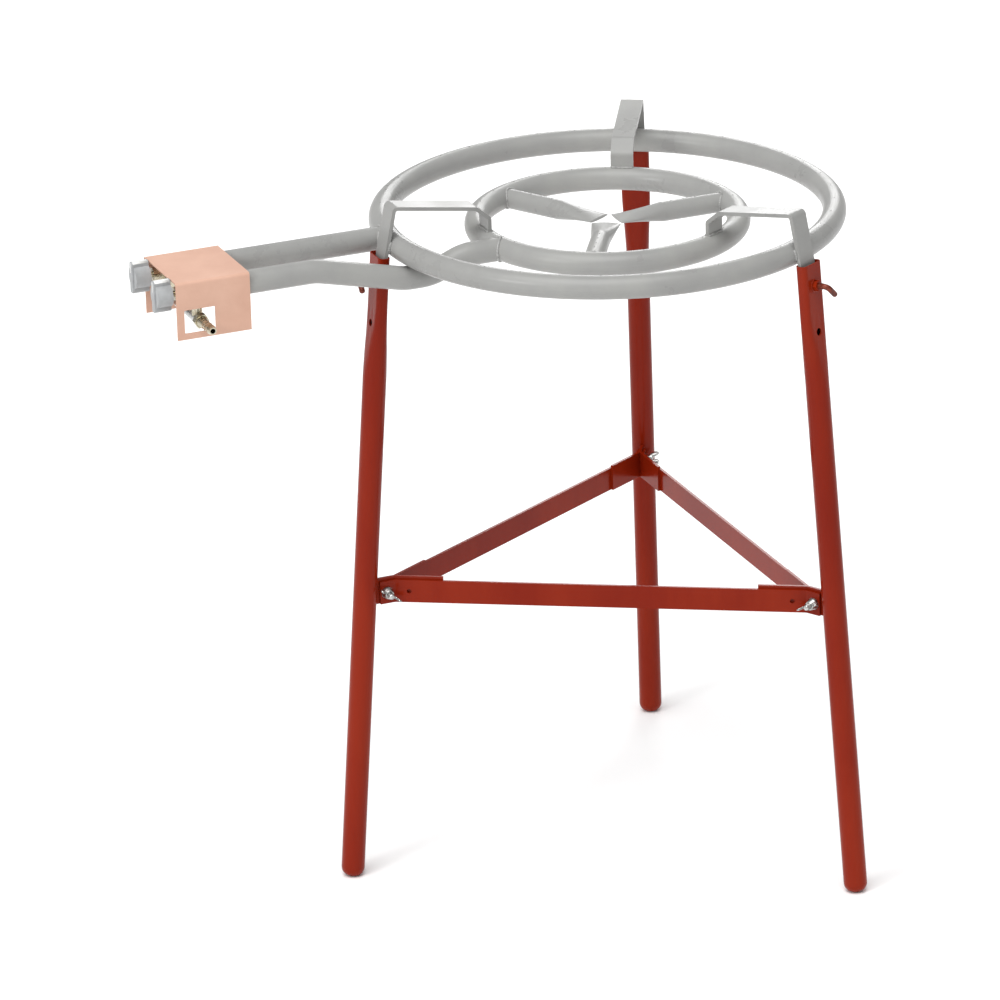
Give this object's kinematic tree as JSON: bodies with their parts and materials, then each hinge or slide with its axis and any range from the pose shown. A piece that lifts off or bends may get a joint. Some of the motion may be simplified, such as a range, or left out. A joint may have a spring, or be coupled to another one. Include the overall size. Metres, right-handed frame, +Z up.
{
  "type": "two-ring gas burner on tripod stand",
  "caption": "Outdoor gas cooking burner with concentric tube rings, finger burners, a manifold with taps, and a braced tripod stand.",
  "frame": {"origin": "on the floor, under the common axis of the two burner rings", "axes": "+Z up along the ring axis, -X towards the gas taps, gas hose nozzle on the -Y side"},
  "size_m": [0.767, 0.5624, 0.745],
  "materials": {
    "stand_paint": "gloss",
    "burner_steel": "satin",
    "cover_paint": "satin",
    "zinc": "satin",
    "brass": "satin",
    "knob_plastic": "matte"
  },
  "bodies": {
    "frame": {"outer_burner_ring": "burner_steel", "inner_burner_ring": "burner_steel", "burner_finger_far": "burner_steel", "burner_finger_left": "burner_steel", "burner_finger_right": "burner_steel", "pan_support_near": "burner_steel", "leg_near": "stand_paint", "clamp_nut_near": "stand_paint", "leg_bracket_near": "stand_paint", "brace_bolt_near": "zinc", "brace_washer_near": "zinc", "pan_support_left": "burner_steel", "leg_left": "stand_paint", "clamp_nut_left": "stand_paint", "leg_bracket_left": "stand_paint", "brace_bolt_left": "zinc", "brace_washer_left": "zinc", "pan_support_right": "burner_steel", "leg_right": "stand_paint", "clamp_nut_right": "stand_paint", "leg_bracket_right": "stand_paint", "brace_bolt_right": "zinc", "brace_washer_right": "zinc", "brace_near_left": "stand_paint", "brace_near_right": "stand_paint", "brace_left_right": "stand_paint", "outer_feed_pipe": "burner_steel", "inner_feed_pipe": "burner_steel", "manifold_cover": "cover_paint", "cover_end_plate": "cover_paint", "pipe_cap_outer": "burner_steel", "injector_outer": "brass", "tap_body_outer": "brass", "pipe_cap_inner": "burner_steel", "injector_inner": "brass", "tap_body_inner": "brass", "gas_rail": "zinc", "rail_plug": "brass", "hose_nozzle": "brass"},
    "tap_outer": {"knob_outer": "knob_plastic", "tap_stem_outer": "brass"},
    "tap_inner": {"knob_inner": "knob_plastic", "tap_stem_inner": "brass"},
    "clamp_near": {"clamp_screw_near": "stand_paint"},
    "clamp_left": {"clamp_screw_left": "stand_paint"},
    "clamp_right": {"clamp_screw_right": "stand_paint"},
    "wing_near": {"wing_nut_near": "zinc"},
    "wing_left": {"wing_nut_left": "zinc"},
    "wing_right": {"wing_nut_right": "zinc"}
  },
  "joints": [
    {"name": "tap_turn_outer", "type": "hinge", "parent": "frame", "child": "tap_outer", "pos_m": [-0.508, 0.033, 0.698], "axis": [-1, 0, 0], "range_deg": [0, 180]},
    {"name": "tap_turn_inner", "type": "hinge", "parent": "frame", "child": "tap_inner", "pos_m": [-0.508, -0.033, 0.698], "axis": [-1, 0, 0], "range_deg": [0, 180]},
    {"name": "clamp_screw_turn_near", "type": "hinge", "parent": "frame", "child": "clamp_near", "pos_m": [-0.25794, 0, 0.66907], "axis": [-0.9969, 0, 0.0791], "range_deg": [0, 540]},
    {"name": "clamp_screw_turn_left", "type": "hinge", "parent": "frame", "child": "clamp_left", "pos_m": [0.12897, 0.22338, 0.66907], "axis": [0.4984, 0.8633, 0.0791], "range_deg": [0, 540]},
    {"name": "clamp_screw_turn_right", "type": "hinge", "parent": "frame", "child": "clamp_right", "pos_m": [0.12897, -0.22338, 0.66907], "axis": [0.4984, -0.8633, 0.0791], "range_deg": [0, 540]},
    {"name": "wing_nut_turn_near", "type": "hinge", "parent": "frame", "child": "wing_near", "pos_m": [-0.2625, 0, 0.318], "axis": [0, -1, 0], "range_deg": [0, 540]},
    {"name": "wing_nut_turn_left", "type": "hinge", "parent": "frame", "child": "wing_left", "pos_m": [0.13125, 0.22733, 0.318], "axis": [0.866, -0.5, 0], "range_deg": [0, 540]},
    {"name": "wing_nut_turn_right", "type": "hinge", "parent": "frame", "child": "wing_right", "pos_m": [0.13125, -0.22733, 0.318], "axis": [-0.866, -0.5, 0], "range_deg": [0, 540]}
  ]
}
